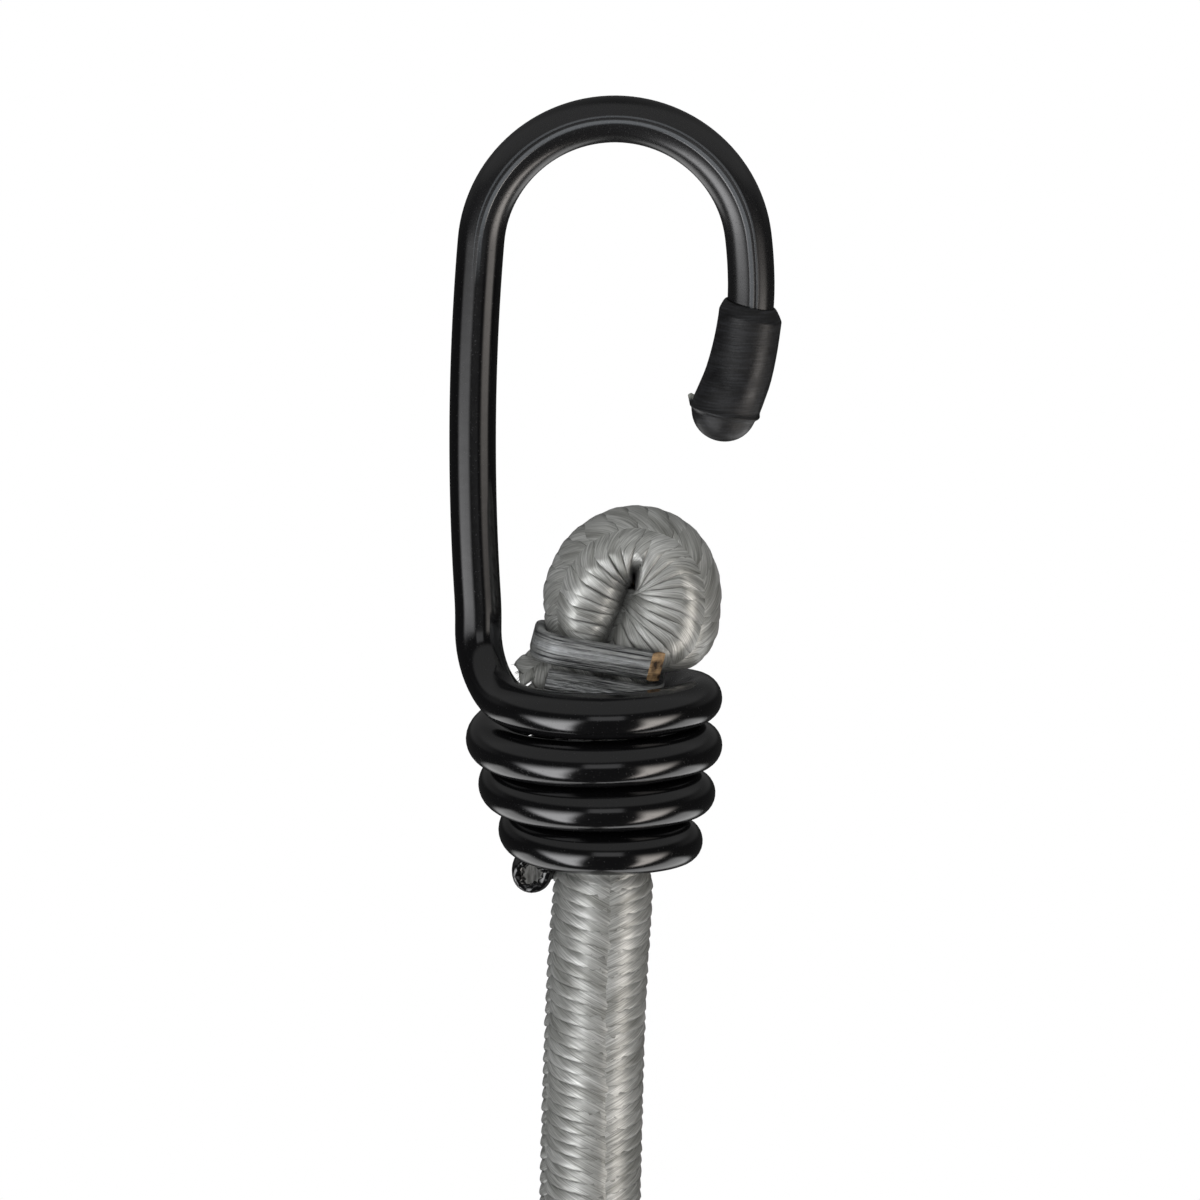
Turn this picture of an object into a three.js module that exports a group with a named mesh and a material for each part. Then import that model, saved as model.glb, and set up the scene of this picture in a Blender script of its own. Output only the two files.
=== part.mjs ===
// A hooked bungee cord: a braided jacket over a bundle of rubber strands, doubled back at each end,
// held there by a steel clip, and seated in the wound neck of a plastic-coated wire hook.
// Millimetres, +Z up. It hangs from its upper hook, and the origin is the inside of that hook's arch,
// on the axis of the cord. The lower end is the upper end turned half round about the view's axis, Y.
import * as THREE from 'three';

const { lerp, smoothstep, degToRad } = THREE.MathUtils;

// Overall
const overallLength = 400; // outside of one arch to the outside of the other, not stretched

// Hook wire
const steelDiameter = 3.4;
const coatingGap = 0.1; // the skin is drawn on tight, and this keeps the two solids apart
const coatingWall = 0.5;
const wireDiameter = steelDiameter + 2 * (coatingGap + coatingWall);
const wireSides = 6;
const wireStep = 3.6; // length of one straight step along the wire

// Wound neck of the hook, all radii at the middle of the wire
const coilRadius = 10.5; // wide turns, which the clip sits in
const coilNeckRadius = 7.2; // narrow end, which grips the cord
const coilTurns = 3.93;
const coilPitch = 4.88;
const coilTaperStart = 1; // turns before the coil begins to narrow
const coilTilt = degToRad(6); // the turns lean, so they run nearly level in front and climb behind

// Shank, arch and tip, as the wire is bent, from the coil to the tip
const neckBendRadius = 6.8; // from the coil up into the shank
const shankLeanRadius = 40;
const shankLean = degToRad(4.7); // the shank leans out above the coil
const shankBowRadius = 248;
const shankBow = degToRad(8.3); // and bows back towards the arch
const archRadius = 13.4;
const archTurn = degToRad(173);
const tipRadius = 40;
const tipTurn = degToRad(26);

// Tip cap
const capRadius = 3.2;
const capBoreGap = 0.15;
const capLength = 11.6; // from the wire's end to the cap's open end
const capCollar = 1.3; // length of the sloped collar
const capLip = 0.25; // wall left at the collar's thin edge
const capDome = 1.8; // height of the rounded end past the wire's end
const capFlashAt = 1.6; // moulding line, from the wire's end
const capFlashWidth = 0.4;
const capFlashHeight = 0.35;
const capSides = 14;

// Clip
const clipThickness = 1.1;
const clipHeight = 2.8; // width of the flat strip
const clipGap = 0.3; // to the doubled cord
const clipCornerRadius = 3.7; // at the middle of the strip
const clipReach = 5.3; // each cut end, across from the middle of the front
const clipClimb = 4.4; // from the lower cut end to the upper one
const clipTilt = degToRad(15);
const clipLift = 3.54; // middle of the clip above the start of the coil
const clipStep = 1.7;

// Cord
const cordDiameter = 10;
const cordNeckDiameter = 9; // drawn in by the narrow end of the coil
const jacketWall = 0.8;
const legOffset = 3.1; // each leg of the doubled cord from the middle of the clip
const legHalfThickness = 2.85; // and its squeezed half sizes there
const legHalfWidth = 4.7;
const seamGap = 0.3; // where the free stretch of the jacket meets the folds, inside the coils
const cordSides = 12;
const foldSteps = 34;
const freeSteps = 10;
const strandDiameter = 2.2;
const strandCircle = 2.5; // radius of the ring of strands round the middle one
const strandsInRing = 6;
const strandSides = 4;
const strandSteps = 70;

// Colours and finishes
const steelFinish = { color: 0x8f9296, roughness: 0.45, metalness: 1 };
const coatingFinish = { color: 0x0c0c0e, roughness: 0.18, metalness: 0 };
const capFinish = { color: 0x161718, roughness: 0.55, metalness: 0 };
const clipFinish = { color: 0x6f747b, roughness: 0.5, metalness: 0.9 };
const jacketFinish = { color: 0x8d8e8a, roughness: 0.6, metalness: 0 };
const rubberFinish = { color: 0xc9b48a, roughness: 0.8, metalness: 0 };

const up = new THREE.Vector3(0, 0, 1);
const across = new THREE.Vector3(0, 1, 0); // square to the hook's plane
const inward = across;
const outward = across.clone().negate();

// Where the wire leaves the coil: the bend there brings the shank into the plane of the cord's axis.
const coilStart = Math.PI + Math.atan2(neckBendRadius, coilRadius);

// The wound neck, from the wire's cut end in the narrow turn up to the wide first turn.
class Coil extends THREE.Curve {
  getPoint(t, target = new THREE.Vector3()) {
    const turns = coilTurns * (1 - t);
    const angle = coilStart + 2 * Math.PI * turns;
    const radius = lerp(coilRadius, coilNeckRadius, smoothstep(turns, coilTaperStart, coilTurns));
    const x = radius * Math.cos(angle);
    const lean = (x - coilRadius * Math.cos(coilStart)) * Math.tan(coilTilt);
    return target.set(x, radius * Math.sin(angle), lean - coilPitch * turns);
  }
}

// One round bend of the wire, which leaves start along heading and turns about axis.
class Bend extends THREE.Curve {
  constructor(start, heading, axis, radius, angle) {
    super();
    this.start = start;
    this.heading = heading;
    this.side = axis.clone().cross(heading);
    this.radius = radius;
    this.angle = angle;
  }

  getPoint(t, target = new THREE.Vector3()) {
    const turned = this.angle * t;
    target.copy(this.start);
    target.addScaledVector(this.heading, this.radius * Math.sin(turned));
    return target.addScaledVector(this.side, this.radius * (1 - Math.cos(turned)));
  }

  getTangent(t, target = new THREE.Vector3()) {
    const turned = this.angle * t;
    target.copy(this.heading).multiplyScalar(Math.cos(turned));
    return target.addScaledVector(this.side, Math.sin(turned));
  }
}

// The whole wire of a hook, with the coil's first turn starting at height 0.
function bendHookWire() {
  const wire = new THREE.CurvePath();
  const coil = new Coil();
  wire.add(coil);
  const leaving = new THREE.Vector3(Math.sin(coilStart), -Math.cos(coilStart), 0);
  const bends = [
    [leaving.clone().cross(up), neckBendRadius, Math.PI / 2],
    [outward, shankLeanRadius, shankLean],
    [inward, shankBowRadius, shankBow],
    [inward, archRadius, archTurn],
    [inward, tipRadius, tipTurn],
  ];
  let point = coil.getPoint(1);
  let heading = leaving;
  for (const [axis, radius, angle] of bends) {
    const bend = new Bend(point, heading, axis, radius, angle);
    wire.add(bend);
    point = bend.getPoint(1);
    heading = bend.getTangent(1);
  }
  return wire;
}

const hookWire = bendHookWire();
const tipBend = hookWire.curves.at(-1);
const archBend = hookWire.curves.at(-2);
const wireSteps = Math.round(hookWire.getLength() / wireStep);
const archTop = archBend.start.z + archRadius * (archBend.side.z + 1);
const coilHeight = -(archTop - wireDiameter / 2); // height of the coil's start in the part's frame
const clipMiddle = coilHeight + clipLift;
const lowerEnd = 2 * wireDiameter - overallLength; // inside of the lower arch

// A round section, with an optional bore.
function roundSection(radius, bore) {
  const section = new THREE.Shape().absarc(0, 0, radius, 0, 2 * Math.PI);
  if (bore) {
    section.holes.push(new THREE.Path().absarc(0, 0, bore, 0, 2 * Math.PI));
  }
  return section;
}

function sweepWire(section) {
  return new THREE.ExtrudeGeometry(section, {
    curveSegments: wireSides / 2, // a circle gets two sides for each
    extrudePath: hookWire,
    steps: wireSteps,
  });
}

// A straight length of the section, with each of its points moved to its place.
function layAlong(section, settings, place) {
  const laid = new THREE.ExtrudeGeometry(section, { ...settings, bevelEnabled: false });
  const position = laid.getAttribute('position');
  for (let i = 0; i < position.count; i += 1) {
    const point = place(position.getX(i), position.getY(i), position.getZ(i));
    position.setXYZ(i, point.x, point.y, point.z);
  }
  return laid;
}

// The cap is turned about a straight axis that runs back from the wire's end, then bent with the tip.
function tipCap() {
  const boreRadius = wireDiameter / 2 + capBoreGap;
  const profile = [];
  const domeSteps = 4;
  for (let step = 0; step <= domeSteps; step += 1) {
    const rise = ((1 - step / domeSteps) * Math.PI) / 2;
    profile.push(new THREE.Vector2(capRadius * Math.cos(rise), -capDome * Math.sin(rise)));
  }
  profile[0].x = 0;
  profile.push(
    new THREE.Vector2(capRadius, capFlashAt),
    new THREE.Vector2(capRadius + capFlashHeight, capFlashAt + capFlashWidth / 4),
    new THREE.Vector2(capRadius + capFlashHeight, capFlashAt + capFlashWidth * 0.75),
    new THREE.Vector2(capRadius, capFlashAt + capFlashWidth),
    new THREE.Vector2(capRadius, capLength / 2),
    new THREE.Vector2(capRadius, capLength - capCollar),
    new THREE.Vector2(boreRadius + capLip, capLength),
    new THREE.Vector2(boreRadius, capLength),
    new THREE.Vector2(boreRadius, capLength / 2),
    new THREE.Vector2(boreRadius, -capBoreGap),
    new THREE.Vector2(0, -capBoreGap),
  );
  const cap = new THREE.LatheGeometry(profile, capSides);
  const length = tipRadius * tipTurn;
  const position = cap.getAttribute('position');
  const turned = new THREE.Vector3();
  for (let i = 0; i < position.count; i += 1) {
    turned.fromBufferAttribute(position, i);
    const along = 1 - turned.y / length;
    const side = across.clone().cross(tipBend.getTangent(along));
    const bent = tipBend.getPoint(along);
    bent.addScaledVector(side, turned.x);
    bent.addScaledVector(across, turned.z);
    position.setXYZ(i, bent.x, bent.y, bent.z);
  }
  return cap;
}

// The clip's strip climbs as it goes round the two legs: front, right, back, left and front again.
function clipLoop() {
  const halfStrip = clipThickness / 2;
  const halfWidth = legOffset + legHalfThickness + clipGap + halfStrip;
  const halfDepth = legHalfWidth + clipGap + halfStrip;
  const endX = halfWidth - clipCornerRadius;
  const endY = halfDepth - clipCornerRadius;
  const quarter = Math.PI / 2;
  const loop = new THREE.Path();
  loop.moveTo(-clipReach, -halfDepth);
  loop.lineTo(endX, -halfDepth);
  loop.absarc(endX, -endY, clipCornerRadius, -quarter, 0);
  loop.absarc(endX, endY, clipCornerRadius, 0, quarter);
  loop.absarc(-endX, endY, clipCornerRadius, quarter, 2 * quarter);
  loop.absarc(-endX, -endY, clipCornerRadius, 2 * quarter, 3 * quarter);
  loop.lineTo(clipReach, -halfDepth);
  return loop;
}

// A point of the clip: the share of the way along the strip, then the place in its section.
function inClip(loop, share, inwards, upwards) {
  const point = loop.getPointAt(share);
  const heading = loop.getTangentAt(share);
  const x = point.x - heading.y * inwards;
  const y = point.y + heading.x * inwards;
  return new THREE.Vector3(x, y, clipClimb * (share - 0.5) + upwards);
}

function clip() {
  const strip = new THREE.Shape();
  strip.moveTo(-clipThickness / 2, -clipHeight / 2);
  strip.lineTo(clipThickness / 2, -clipHeight / 2);
  strip.lineTo(clipThickness / 2, clipHeight / 2);
  strip.lineTo(-clipThickness / 2, clipHeight / 2);
  const loop = clipLoop();
  const steps = Math.round(loop.getLength() / clipStep);
  return layAlong(strip, { depth: 1, steps }, (x, y, share) => inClip(loop, share, x, y));
}

// The doubled end of the cord, from its cut tail over the fold and down into the coil. Each row is the
// place across and above the middle of the clip, then the half thickness in the hook's plane and the
// half width square to it: the fold is flattened, and the clip squeezes both legs.
const cordRadius = cordDiameter / 2;
const neckRadius = cordNeckDiameter / 2;
const foldRows = [
  [-6.0, -3.1, 3.0, 4.3],
  [-4.1, -1.1, 2.9, 4.5],
  [0.4 - legOffset, 1.5, legHalfThickness, legHalfWidth],
  [1.05 - legOffset, 4.0, legHalfThickness + 0.2, legHalfWidth + 0.1],
  [1 - legOffset, 6.7, 3.9, 5.1],
  [-0.85, 9.7, 3.8, 5.5],
  [0.5, 11.3, 3.4, 5.8],
  [2.25, 12.1, 3.3, 6.1],
  [4.15, 11.95, 3.35, 6.2],
  [5.85, 11.0, 3.45, 6.2],
  [7.1, 9.25, 3.75, 6.0],
  [7.25, 6.7, 4.25, 5.6],
  [legOffset + 2.85, 3.4, 4.55, 5.0],
  [legOffset + 0.7, 0.8, legHalfThickness - 0.05, legHalfWidth],
  [legOffset - 0.4, -1.5, legHalfThickness, legHalfWidth],
  [legOffset - 1, -4.7, legHalfThickness + 0.15, legHalfWidth],
  [1.3, -8.2, 4.1, 4.6],
  [0.4, -12.8, neckRadius, neckRadius],
  [0, -18, neckRadius, neckRadius],
  [0, -23, neckRadius, neckRadius],
  [0, -27, cordRadius, cordRadius],
  [0, -42, cordRadius, cordRadius],
];
const seamRow = 18.5; // the jacket is drawn as fold, free stretch and fold, which meet here
const seamHalf = seamGap / 2 / (foldRows[18][1] - foldRows[19][1]); // half the seam's gap, in rows

// The route of the whole cord, tail to tail, as rows of place and half sizes.
function cordRoute() {
  const places = [];
  const sizes = [];
  for (const [x, z, thick, wide] of foldRows) {
    places.push(new THREE.Vector3(x, 0, clipMiddle + z));
    sizes.push(new THREE.Vector3(thick, wide, 0));
  }
  const freeTop = places.at(-1).z;
  for (const share of [0.25, 0.5, 0.75]) {
    places.push(new THREE.Vector3(0, 0, lerp(freeTop, lowerEnd - freeTop, share)));
    sizes.push(new THREE.Vector3(cordRadius, cordRadius, 0));
  }
  for (const [x, z, thick, wide] of foldRows.toReversed()) {
    places.push(new THREE.Vector3(-x, 0, lowerEnd - clipMiddle - z));
    sizes.push(new THREE.Vector3(thick, wide, 0));
  }
  return {
    lastRow: places.length - 1,
    place: new THREE.CatmullRomCurve3(places, false, 'catmullrom', 0.5),
    size: new THREE.CatmullRomCurve3(sizes, false, 'catmullrom', 0.5),
  };
}

const route = cordRoute();

// A point of the cord: the row, then the place in its section, where the jacket's outside is a unit circle.
function inCord(row, thick, wide) {
  const t = row / route.lastRow;
  const heading = route.place.getTangent(t);
  const half = route.size.getPoint(t);
  const point = route.place.getPoint(t);
  point.addScaledVector(across.clone().cross(heading), half.x * thick);
  return point.addScaledVector(across, half.y * wide);
}

// A section of the cord, in the same measure, laid along it from one row to another.
function layInCord(section, sides, fromRow, toRow, steps) {
  const settings = { curveSegments: sides / 2, depth: toRow - fromRow, steps };
  return layAlong(section, settings, (x, y, rows) => inCord(fromRow + rows, x, y));
}

function jacket(fromRow, toRow, steps) {
  const section = roundSection(1, 1 - jacketWall / cordRadius);
  return layInCord(section, cordSides, fromRow, toRow, steps);
}

function strand(circle, angle) {
  const centreX = (circle / cordRadius) * Math.cos(angle);
  const centreY = (circle / cordRadius) * Math.sin(angle);
  const radius = strandDiameter / 2 / cordRadius;
  const section = new THREE.Shape().absarc(centreX, centreY, radius, 0, 2 * Math.PI);
  return layInCord(section, strandSides, 0, route.lastRow, strandSteps);
}

function piece(name, geometry, finish) {
  const mesh = new THREE.Mesh(geometry, new THREE.MeshStandardMaterial(finish));
  mesh.name = name;
  return mesh;
}

// The rigid pieces of one end, as they stand at the top of the cord.
function hookEnd(end) {
  const hook = new THREE.Group();
  const steelRadius = steelDiameter / 2;
  const skin = roundSection(wireDiameter / 2, steelRadius + coatingGap);
  hook.add(
    piece(`${end}_hook_wire`, sweepWire(roundSection(steelRadius)), steelFinish),
    piece(`${end}_hook_coating`, sweepWire(skin), coatingFinish),
    piece(`${end}_tip_cap`, tipCap(), capFinish),
  );
  hook.position.z = coilHeight;
  const strip = piece(`${end}_clip`, clip(), clipFinish);
  strip.position.z = clipMiddle;
  strip.rotation.y = clipTilt;
  return new THREE.Group().add(hook, strip);
}

const bungee = new THREE.Group();
const lowerHalf = hookEnd('lower');
lowerHalf.rotation.y = Math.PI;
lowerHalf.position.z = lowerEnd;
bungee.add(hookEnd('upper'), lowerHalf);

const lowerSeamRow = route.lastRow - seamRow;
bungee.add(
  piece('upper_cord_fold', jacket(0, seamRow - seamHalf, foldSteps), jacketFinish),
  piece('cord_jacket', jacket(seamRow + seamHalf, lowerSeamRow - seamHalf, freeSteps), jacketFinish),
  piece('lower_cord_fold', jacket(lowerSeamRow + seamHalf, route.lastRow, foldSteps), jacketFinish),
);

bungee.add(piece('rubber_strand_1', strand(0, 0), rubberFinish));
for (let k = 0; k < strandsInRing; k += 1) {
  const angle = (2 * Math.PI * k) / strandsInRing;
  bungee.add(piece(`rubber_strand_${k + 2}`, strand(strandCircle, angle), rubberFinish));
}

// The least gap between two points of a list that lie further apart in it than skip.
function leastGap(points, skip) {
  let least = Infinity;
  points.forEach((point, i) => {
    for (let j = i + skip; j < points.length; j += 1) {
      least = Math.min(least, point.distanceTo(points[j]));
    }
  });
  return least;
}

const wirePoints = hookWire.getSpacedPoints(900);
const quarterTurn = Math.round((900 * coilNeckRadius * 1.5) / hookWire.getLength());
const coilGap = leastGap(wirePoints, quarterTurn) - wireDiameter;
console.log(`least gap between the turns of a hook's coil: ${coilGap.toFixed(2)} mm`);

const clipMiddleLine = clipLoop();
const clipPoints = [];
for (let step = 0; step <= 200; step += 1) {
  clipPoints.push(inClip(clipMiddleLine, step / 200, 0, 0));
}
const clipSelfGap = leastGap(clipPoints, 100) - clipHeight;
console.log(`least gap between the bars of a clip: ${clipSelfGap.toFixed(2)} mm`);

const innerEdge = [];
for (let row = 2; row <= 14; row += 0.1) {
  innerEdge.push(inCord(row, 1, 0));
}
console.log(`least gap across the fold's crease: ${leastGap(innerEdge, 60).toFixed(2)} mm`);

export default bungee;
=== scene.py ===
import math

import bpy
import numpy as np
from mathutils import Matrix, Vector


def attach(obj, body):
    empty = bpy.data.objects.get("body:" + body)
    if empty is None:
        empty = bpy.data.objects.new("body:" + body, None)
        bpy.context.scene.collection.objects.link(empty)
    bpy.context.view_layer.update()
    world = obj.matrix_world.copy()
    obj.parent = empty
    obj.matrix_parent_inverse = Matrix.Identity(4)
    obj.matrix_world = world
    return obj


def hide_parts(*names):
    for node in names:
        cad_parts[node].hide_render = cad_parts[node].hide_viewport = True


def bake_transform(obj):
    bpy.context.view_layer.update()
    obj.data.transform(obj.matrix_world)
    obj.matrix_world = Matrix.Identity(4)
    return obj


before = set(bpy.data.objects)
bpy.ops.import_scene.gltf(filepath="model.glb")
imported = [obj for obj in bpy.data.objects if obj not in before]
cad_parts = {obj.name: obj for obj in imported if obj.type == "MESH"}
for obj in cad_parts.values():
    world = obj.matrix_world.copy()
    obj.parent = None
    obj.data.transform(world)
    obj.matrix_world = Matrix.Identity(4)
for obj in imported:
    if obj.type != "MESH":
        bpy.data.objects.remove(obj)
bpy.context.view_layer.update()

# Rubber core: seven round threads of natural latex, drawn off an extruder, which do the stretching.
# They run the whole length of the cord, doubled ends included, and only their cut ends show.
MM = 0.001
cord_radius = 5
lower_arch = -390.8  # inside of the lower hook's arch, where the upper one is at 0
clip_middle = -52.689
run_on = 6  # how far the cord's line goes on straight past each cut end

# The doubled end, from the cut tail over the fold and down into the neck: place across and above the
# middle of the clip, then the half thickness in the hook's plane and the half width square to it.
fold_rows = [
    (-6.2, -2.4, 2.8, 4.2),
    (-4.3, -0.8, 2.8, 4.4),
    (-2.7, 1.5, 2.85, 4.7),
    (-2.4, 4.0, 3.3, 4.8),
    (-2.1, 6.7, 3.7, 5.1),
    (-0.85, 9.7, 3.6, 5.5),
    (0.5, 11.3, 3.2, 5.8),
    (2.35, 12.1, 3.15, 6.1),
    (4.4, 11.95, 3.25, 6.2),
    (6.1, 11.05, 3.4, 6.2),
    (7.35, 9.3, 3.65, 6.0),
    (7.55, 6.65, 4.2, 5.6),
    (6.3, 3.2, 4.8, 5.1),
    (3.9, 0.6, 2.9, 4.7),
    (2.7, -1.5, 2.85, 4.7),
    (2.1, -4.7, 3.0, 4.7),
    (1.4, -8.2, 4.1, 4.6),
    (0.8, -12.8, 4.5, 4.5),
    (0.75, -18.0, 4.5, 4.5),
    (0.69, -21.6, 4.55, 4.55),
    (0.61, -24.4, 5.0, 5.0),
    (0.07, -42.0, 5.0, 5.0),
]
cord_rows = [(x, clip_middle + z, thick, wide) for x, z, thick, wide in fold_rows]
free_top = cord_rows[-1][1]
for share in (0.25, 0.5, 0.75):
    cord_rows.append((0, free_top + share * (lower_arch - 2 * free_top), cord_radius, cord_radius))
for x, z, thick, wide in reversed(fold_rows):
    cord_rows.append((-x, lower_arch - clip_middle - z, thick, wide))
cord_rows = np.array(cord_rows)


# A smooth line through the rows, at fractional row numbers.
def through_rows(rows, at):
    before, after = 2 * rows[0] - rows[1], 2 * rows[-1] - rows[-2]
    padded = np.vstack([before, rows, after])
    row = np.clip(at.astype(int), 0, len(rows) - 2)
    f = (at - row)[:, None]
    p0, p1, p2, p3 = (padded[row + k] for k in range(4))
    leave, arrive = (p2 - p0) / 2, (p3 - p1) / 2
    shape = (2 * f**3 - 3 * f**2 + 1) * p1 + (3 * f**2 - 2 * f**3) * p2
    return shape + (f**3 - 2 * f**2 + f) * leave + (f**3 - f**2) * arrive


# The whole cord as a table by length along its middle, which starts with the columns of the rows.
table_rows = 9001
row_numbers = np.linspace(0, len(cord_rows) - 1, table_rows)
cord_table = through_rows(cord_rows, row_numbers)
pieces_of_line = np.diff(cord_table[:, :2], axis=0)
cord_run = np.concatenate([[0], np.cumsum(np.hypot(*pieces_of_line.T))])
cord_length = cord_run[-1]
heading = np.gradient(cord_table[:, :2], cord_run, axis=0)
heading /= np.linalg.norm(heading, axis=1)[:, None]

# The legs of the fold are pressed together along a crease, which slants above the clip and is upright in
# it, so the inner side of the cord swells to meet that line.
crease_across = 0.2  # from the middle of the clip
crease_bend = 1.3  # height above the middle of the clip where the slant starts
crease_spans = ((0.3665, crease_bend, 8.7), (0, -5, crease_bend))  # slope, then bottom and top
crease_press = 0.35  # of each leg past the line
most_swelling = 2.4
full_flattening = 0.5  # of the inner side, once it has swollen so far
flattened_at = 0.8
blur_rows = 81
above_clip = cord_table[:, 1] - clip_middle
swollen = cord_table[:, 2].copy()
for slope, bottom, top in crease_spans:
    to_crease = crease_across + slope * (above_clip - crease_bend) - cord_table[:, 0]
    to_crease /= heading[:, 1] + slope * heading[:, 0]
    meets_at = above_clip - heading[:, 0] * to_crease
    meets = (to_crease > 0) & (meets_at > bottom) & (meets_at < top)
    reaching = np.clip(to_crease + crease_press, swollen, swollen + most_swelling)
    swollen = np.where(meets, reaching, swollen)
blur = np.hanning(blur_rows)
swollen = np.convolve(np.pad(swollen, blur_rows // 2, mode="edge"), blur / blur.sum(), "valid")
flattening = np.clip((swollen - cord_table[:, 2]) / flattened_at, 0, 1)
roundness = 1 - full_flattening * flattening
cord_table = np.hstack([cord_table, heading, swollen[:, None], roundness[:, None]])
first, last = cord_table[0].copy(), cord_table[-1].copy()
first[:2] -= run_on * first[4:6]
last[:2] += run_on * last[4:6]
cord_table = np.vstack([first, cord_table, last])
cord_run = np.concatenate([[-run_on], cord_run, [cord_length + run_on]])


# Points of the cord: the length along it, then the place in its section, where the outside is a circle
# of radius 1. The first of the two faces the inside of the fold, the second the back.
def in_cord(along, inwards, backwards):
    columns = (np.interp(along, cord_run, column) for column in cord_table.T)
    x, z, thick, wide, head_x, head_z, inner, rounded = columns
    across = np.where(inwards > 0, inner * np.abs(inwards) ** rounded, thick * inwards)
    return np.stack([x + head_z * across, wide * backwards, z - head_x * across], axis=-1)


# Makes one piece the only one that the operators work on.
def select_only(piece):
    bpy.ops.object.select_all(action="DESELECT")
    bpy.context.view_layer.objects.active = piece
    piece.select_set(True)


# Closed tubes from rings of points, numbered tube, step along, side. The map is in millimetres round and
# along each tube, turned by the slant at which its filaments lie.
def lay_tubes(name, rings, around, along, slant):
    tubes, steps, sides = rings.shape[:3]
    number = np.arange(tubes * steps * sides).reshape(tubes, steps, sides)
    beside = np.roll(number, -1, axis=2)
    walls = np.stack([number[:, :-1], beside[:, :-1], beside[:, 1:], number[:, 1:]], axis=-1)
    ends = np.concatenate([number[:, 0], number[:, -1]])
    points = rings.reshape(-1, 3) * MM
    mesh = bpy.data.meshes.new(name)
    mesh.from_pydata(points.tolist(), [], walls.reshape(-1, 4).tolist() + ends.tolist())
    wall_round = np.stack([around[:-1], around[1:], around[1:], around[:-1]], axis=-1)
    wall_round = np.broadcast_to(wall_round, walls.shape)
    wall_along = np.stack([along[:, :-1], along[:, :-1], along[:, 1:], along[:, 1:]], axis=-1)
    wall_along = np.broadcast_to(wall_along[:, :, None], walls.shape)
    end_round = np.broadcast_to(around[:-1], ends.shape)
    end_along = np.broadcast_to(np.concatenate([along[:, 0], along[:, -1]])[:, None], ends.shape)
    all_round = np.concatenate([wall_round.ravel(), end_round.ravel()])
    all_along = np.concatenate([wall_along.ravel(), end_along.ravel()])
    turned_map = [
        all_round * math.cos(slant) + all_along * math.sin(slant),
        all_along * math.cos(slant) - all_round * math.sin(slant),
    ]
    layer = mesh.uv_layers.new(name="UVMap")
    layer.data.foreach_set("uv", np.stack(turned_map, axis=-1).ravel())
    laid = bpy.data.objects.new(name, mesh)
    bpy.context.collection.objects.link(laid)
    select_only(laid)
    bpy.ops.object.mode_set(mode="EDIT")
    bpy.ops.mesh.select_all(action="SELECT")
    bpy.ops.mesh.normals_make_consistent(inside=False)
    bpy.ops.object.mode_set(mode="OBJECT")
    bpy.ops.object.shade_smooth()
    return laid


thread_count = 7
thread_radius = 1.05
thread_circle = 2.3  # that six of them lie on, round the seventh
thread_sides = 10
thread_steps = 420
thread_inset = 0.7  # of their cut ends from the ends of the cord's line
core_along = np.linspace(thread_inset, cord_length - thread_inset, thread_steps)
around_thread = np.arange(thread_sides) * 2 * math.pi / thread_sides
core_rings = []
for thread in range(thread_count):
    angle = math.pi / 3 * thread
    circle = thread_circle if thread else 0
    inwards = (circle * math.cos(angle) + thread_radius * np.cos(around_thread)) / cord_radius
    backwards = (circle * math.sin(angle) + thread_radius * np.sin(around_thread)) / cord_radius
    core_rings.append(in_cord(*np.broadcast_arrays(core_along[:, None], inwards, backwards)))
thread_map = np.arange(thread_sides + 1) / thread_sides * 2 * math.pi * thread_radius
core_map = np.tile(core_along, (thread_count, 1))
core = lay_tubes("rubber_core", np.array(core_rings), thread_map, core_map, 0)


# An sRGB hex colour as the linear values that a shader takes.
def linear(code):
    channels = [int(code[i : i + 2], 16) / 255 for i in (1, 3, 5)]
    return [c / 12.92 if c <= 0.04045 else ((c + 0.055) / 1.055) ** 2.4 for c in channels] + [1]


# Adds a node with its settings and the stops of its ramp, and sets or links its inputs. A node given as
# an input stands for its first output.
def add_node(tree, kind, inputs, stops=(), **settings):
    node = tree.nodes.new("ShaderNode" + kind)
    for name, value in settings.items():
        setattr(node, name, value)
    for number, (position, code) in enumerate(stops):
        marks = node.color_ramp.elements
        mark = marks[number] if number < 2 else marks.new(position)
        mark.position = position
        mark.color = linear(code)
    for name, value in inputs.items():
        if isinstance(value, bpy.types.Node):
            value = value.outputs[0]
        if isinstance(value, bpy.types.NodeSocket):
            tree.links.new(value, node.inputs[name])
        else:
            node.inputs[name].default_value = value
    return node


# A material with an empty tree but for its shader, which takes the constants given.
def new_finish(name, **constants):
    finish = bpy.data.materials.new(name)
    finish.use_nodes = True
    shader_inputs = finish.node_tree.nodes["Principled BSDF"].inputs
    for socket, value in constants.items():
        shader_inputs[socket.replace("_", " ")].default_value = value
    return finish, finish.node_tree, shader_inputs


# Natural latex: dusty cream, matt, with cloudy patches about 2 mm across from the talc it is dusted with.
latex, tree, shader = new_finish("natural_latex", Roughness=0.8, IOR=1.52)
place = add_node(tree, "TexCoord", {})
cloud = add_node(tree, "TexNoise", {"Vector": place.outputs["Object"], "Scale": 0.5 / MM, "Detail": 4})
tone = add_node(tree, "ValToRGB", {"Fac": cloud}, stops=((0, "#a08a62"), (1, "#cdb98f")))
tree.links.new(tone.outputs["Color"], shader["Base Color"])
core.data.materials.append(latex)
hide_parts(*[f"rubber_strand_{number}" for number in range(1, 8)])

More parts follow.
